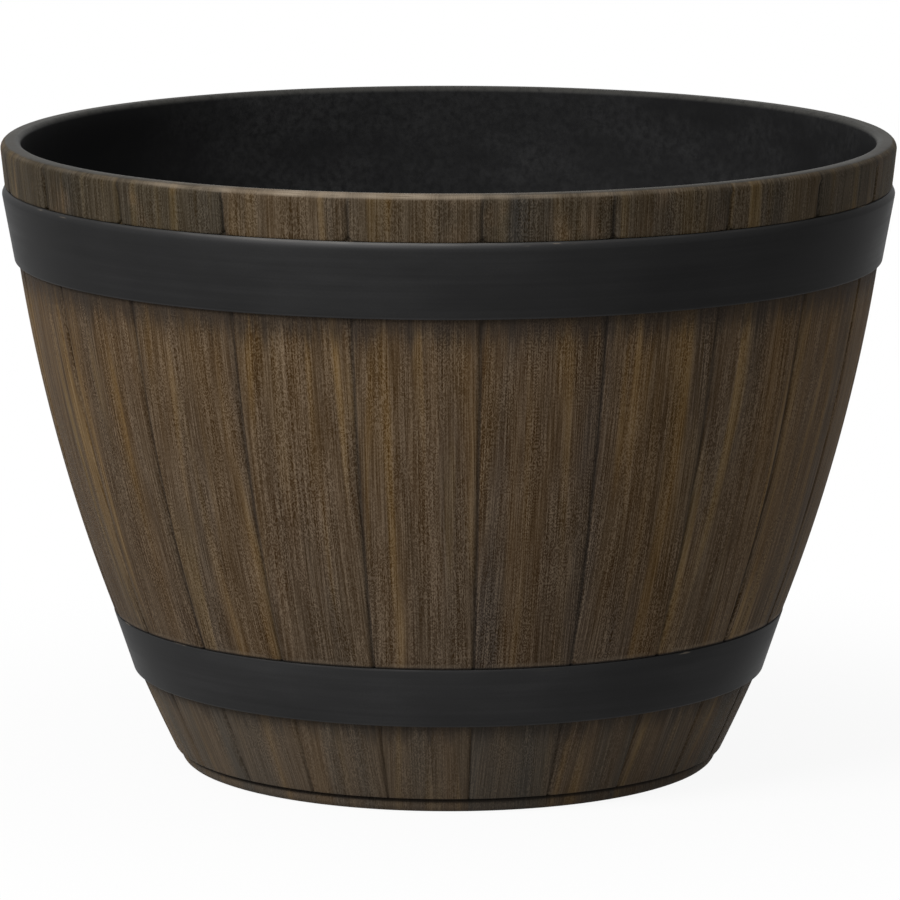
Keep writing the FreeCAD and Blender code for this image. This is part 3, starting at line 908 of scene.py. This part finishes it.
def make_tab(sizes, seat):
    """Shapes the plug's round-topped pull tab from half a disc, with ridges on both faces."""
    high = PLUG_BOX[1][2]
    middle = high - TAB_ROUND
    fresh_start()
    bpy.ops.mesh.primitive_cylinder_add(vertices=64, radius=TAB_ROUND, depth=TAB_THICK,
                                        location=(0.0, 0.0, middle), rotation=(pi / 2, 0.0, 0.0))
    tab = bpy.context.object
    bpy.ops.object.transform_apply(location=True, rotation=True, scale=True)
    bpy.ops.object.mode_set(mode="EDIT")
    bpy.ops.mesh.select_all(action="SELECT")
    bpy.ops.mesh.bisect(plane_co=(0.0, 0.0, middle), plane_no=(0.0, 0.0, 1.0),
                        use_fill=True, clear_inner=True)
    pick_faces(lambda spot, facing: facing.z < -0.9)
    bpy.ops.mesh.extrude_region_move(
        TRANSFORM_OT_translate={"value": (0.0, 0.0, seat + TAB_ROOT - middle)})
    ridges = [high - RIDGE_DROP - RIDGE_PITCH * i for i in range(RIDGES)]
    for ridge in ridges:
        for level in (ridge, ridge - RIDGE_WIDTH):
            bpy.ops.mesh.select_all(action="SELECT")
            bpy.ops.mesh.bisect(plane_co=(0.0, 0.0, level), plane_no=(0.0, 0.0, 1.0))
    bpy.ops.mesh.select_all(action="SELECT")
    bpy.ops.mesh.remove_doubles(threshold=0.00015)
    for side in (1.0, -1.0):
        pick_faces(lambda spot, facing: facing.y * side > 0.9
                   and any(ridge - RIDGE_WIDTH < spot.z < ridge for ridge in ridges))
        bpy.ops.mesh.inset(thickness=RIDGE_INSET, use_individual=True)
        bpy.ops.transform.translate(value=(0.0, side * RIDGE_PROUD, 0.0))
    bpy.ops.object.mode_set(mode="OBJECT")
    round_edges(tab, 0.5 * sizes.plug_edge, 2, 40.0)
    return tab


def make_plug(sizes, finish):
    """Welds the tab to the stopper as one rubber plug."""
    seat = sizes.floor_top + PLUG_GAP
    plug, tab = make_stopper(sizes, seat), make_tab(sizes, seat)
    fresh_start()
    bpy.context.view_layer.objects.active = plug
    plug.select_set(True)
    weld = plug.modifiers.new("tab_weld", "BOOLEAN")
    weld.operation = "UNION"
    weld.solver = "EXACT"
    weld.object = tab
    bpy.ops.object.modifier_apply(modifier=weld.name)
    bpy.data.objects.remove(tab)
    merge_slivers()
    hand_over(plug, "plug", "drain_plug", plug_rubber(finish), 40.0)


def background_rays(r):
    """1 for what is seen straight, in gloss or through glass, 0 for light that falls on things."""
    path = r.node("ShaderNodeLightPath").outputs
    return r.most(path["Is Camera Ray"], path["Is Glossy Ray"], path["Is Transmission Ray"])


def lay_floor(stage):
    """A wide sheet of pale paper that shows white and keeps a faint shadow of the planter."""
    fresh_start()
    bpy.ops.mesh.primitive_plane_add(size=PAPER_SIZE, location=(0.0, 0.0, 0.0))
    paper = bpy.context.object
    paper.name = paper.data.name = "paper_floor"
    r = new_material("paper_white")
    matt = r.node("ShaderNodeBsdfDiffuse", {"Color": stage.paper})
    white = r.node("ShaderNodeEmission", {"Strength": 1.0})
    away = r.node("ShaderNodeVectorMath", {0: r.place()}, operation="LENGTH").outputs["Value"]
    glow = r.step(away, PAPER_NEAR, PAPER_FAR, PAPER_GLOW)
    mixed = r.node("ShaderNodeMixShader", {0: r.times(background_rays(r), glow),
                                           1: matt.outputs[0], 2: white.outputs[0]})
    r.node("ShaderNodeOutputMaterial", {0: mixed.outputs[0]})
    paper.data.materials.append(r.owner)
    paper.select_set(False)


def light_studio(scene, stage):
    """Even light from all round and one large soft key from the left front."""
    r = Recipe(bpy.data.worlds.new("studio"))
    level = r.node("ShaderNodeMapRange", {0: background_rays(r), 3: stage.fill, 4: 1.0})
    sky = r.node("ShaderNodeBackground", {"Color": (1.0, 1.0, 1.0), "Strength": level.outputs[0]})
    r.node("ShaderNodeOutputWorld", {0: sky.outputs[0]})
    scene.world = r.owner

    fresh_start()
    side, rise, reach = stage.key_side, stage.key_rise, stage.key_reach
    spot = (reach * cos(rise) * sin(side), -reach * cos(rise) * cos(side),
            stage.key_aim + reach * sin(rise))
    bpy.ops.object.light_add(type="AREA", location=spot, rotation=(pi / 2 - rise, 0.0, side))
    key = bpy.context.object
    key.name = key.data.name = "soft_key"
    key.data.shape = "DISK"
    key.data.size = stage.key_size
    key.data.energy = stage.key
    key.select_set(False)


def aim_camera(scene, stage):
    """Sets the camera where the photograph was taken from."""
    fresh_start()
    bpy.ops.object.camera_add(location=(0.0, -stage.camera_reach, stage.camera_height),
                              rotation=(pi / 2 - stage.camera_tilt, 0.0, 0.0))
    camera = bpy.context.object
    camera.name = camera.data.name = "photo_camera"
    camera.data.sensor_width = SENSOR
    camera.data.lens = stage.lens
    camera.data.shift_x = stage.camera_shift
    camera.data.clip_end = 200.0
    camera.select_set(False)
    scene.camera = camera
    scene.view_settings.view_transform = "Standard"


class PLANTER_OT_shell(Operator):
    """Models the moulded shell: foot, staves, rim, inside and drain hole"""

    bl_idname = "planter.shell"
    bl_label = "Mould the Shell"

    def execute(self, context):
        make_shell(context.scene.planter_sizes, context.scene.planter_finish)
        return {"FINISHED"}


class PLANTER_OT_hoops(Operator):
    """Models the two black hoops in their seats"""

    bl_idname = "planter.hoops"
    bl_label = "Fit the Hoops"

    def execute(self, context):
        sizes, finish = context.scene.planter_sizes, context.scene.planter_finish
        black = hoop_satin("upper_hoop_satin", sizes, finish, UPPER_BOX, UPPER_LOOK)
        make_hoop("upper_hoop_band", upper_section(sizes), sizes.hoop_edge, "upper_hoop", black)
        black = hoop_satin("lower_hoop_satin", sizes, finish, LOWER_BOX, LOWER_LOOK)
        make_hoop("lower_hoop_band", lower_section(sizes), sizes.hoop_edge, "lower_hoop", black)
        return {"FINISHED"}


class PLANTER_OT_plug(Operator):
    """Models the rubber drain plug with its pull tab"""

    bl_idname = "planter.plug"
    bl_label = "Make the Drain Plug"

    def execute(self, context):
        make_plug(context.scene.planter_sizes, context.scene.planter_finish)
        return {"FINISHED"}


class PLANTER_OT_stage(Operator):
    """Sets the paper floor, the soft light and the camera"""

    bl_idname = "planter.stage"
    bl_label = "Set the Studio"

    def execute(self, context):
        stage = context.scene.planter_stage
        lay_floor(stage)
        light_studio(context.scene, stage)
        aim_camera(context.scene, stage)
        return {"FINISHED"}


class PLANTER_PT_workshop(Panel):
    """Lists the planter's steps and settings"""

    bl_idname = "PLANTER_PT_workshop"
    bl_label = "Half-Barrel Planter"
    bl_space_type = "VIEW_3D"
    bl_region_type = "UI"
    bl_category = "Planter"

    def draw(self, context):
        column = self.layout.column(align=True)
        for operator in OPERATORS:
            column.operator(operator.bl_idname)
        for group in ("planter_sizes", "planter_finish", "planter_stage"):
            settings = getattr(context.scene, group)
            box = self.layout.box()
            for name in settings.__annotations__:
                box.prop(settings, name)


OPERATORS = (PLANTER_OT_shell, PLANTER_OT_hoops, PLANTER_OT_plug, PLANTER_OT_stage)
CLASSES = (PlanterSizes, PlanterFinish, PlanterStage, *OPERATORS, PLANTER_PT_workshop)


def register():
    for cls in CLASSES:
        bpy.utils.register_class(cls)
    bpy.types.Scene.planter_sizes = PointerProperty(type=PlanterSizes)
    bpy.types.Scene.planter_finish = PointerProperty(type=PlanterFinish)
    bpy.types.Scene.planter_stage = PointerProperty(type=PlanterStage)


def unregister():
    del bpy.types.Scene.planter_stage
    del bpy.types.Scene.planter_finish
    del bpy.types.Scene.planter_sizes
    for cls in reversed(CLASSES):
        bpy.utils.unregister_class(cls)


def main():
    register()
    bpy.ops.planter.shell()
    bpy.ops.planter.hoops()
    bpy.ops.planter.plug()
    bpy.ops.planter.stage()


if __name__ == "__main__":
    main()
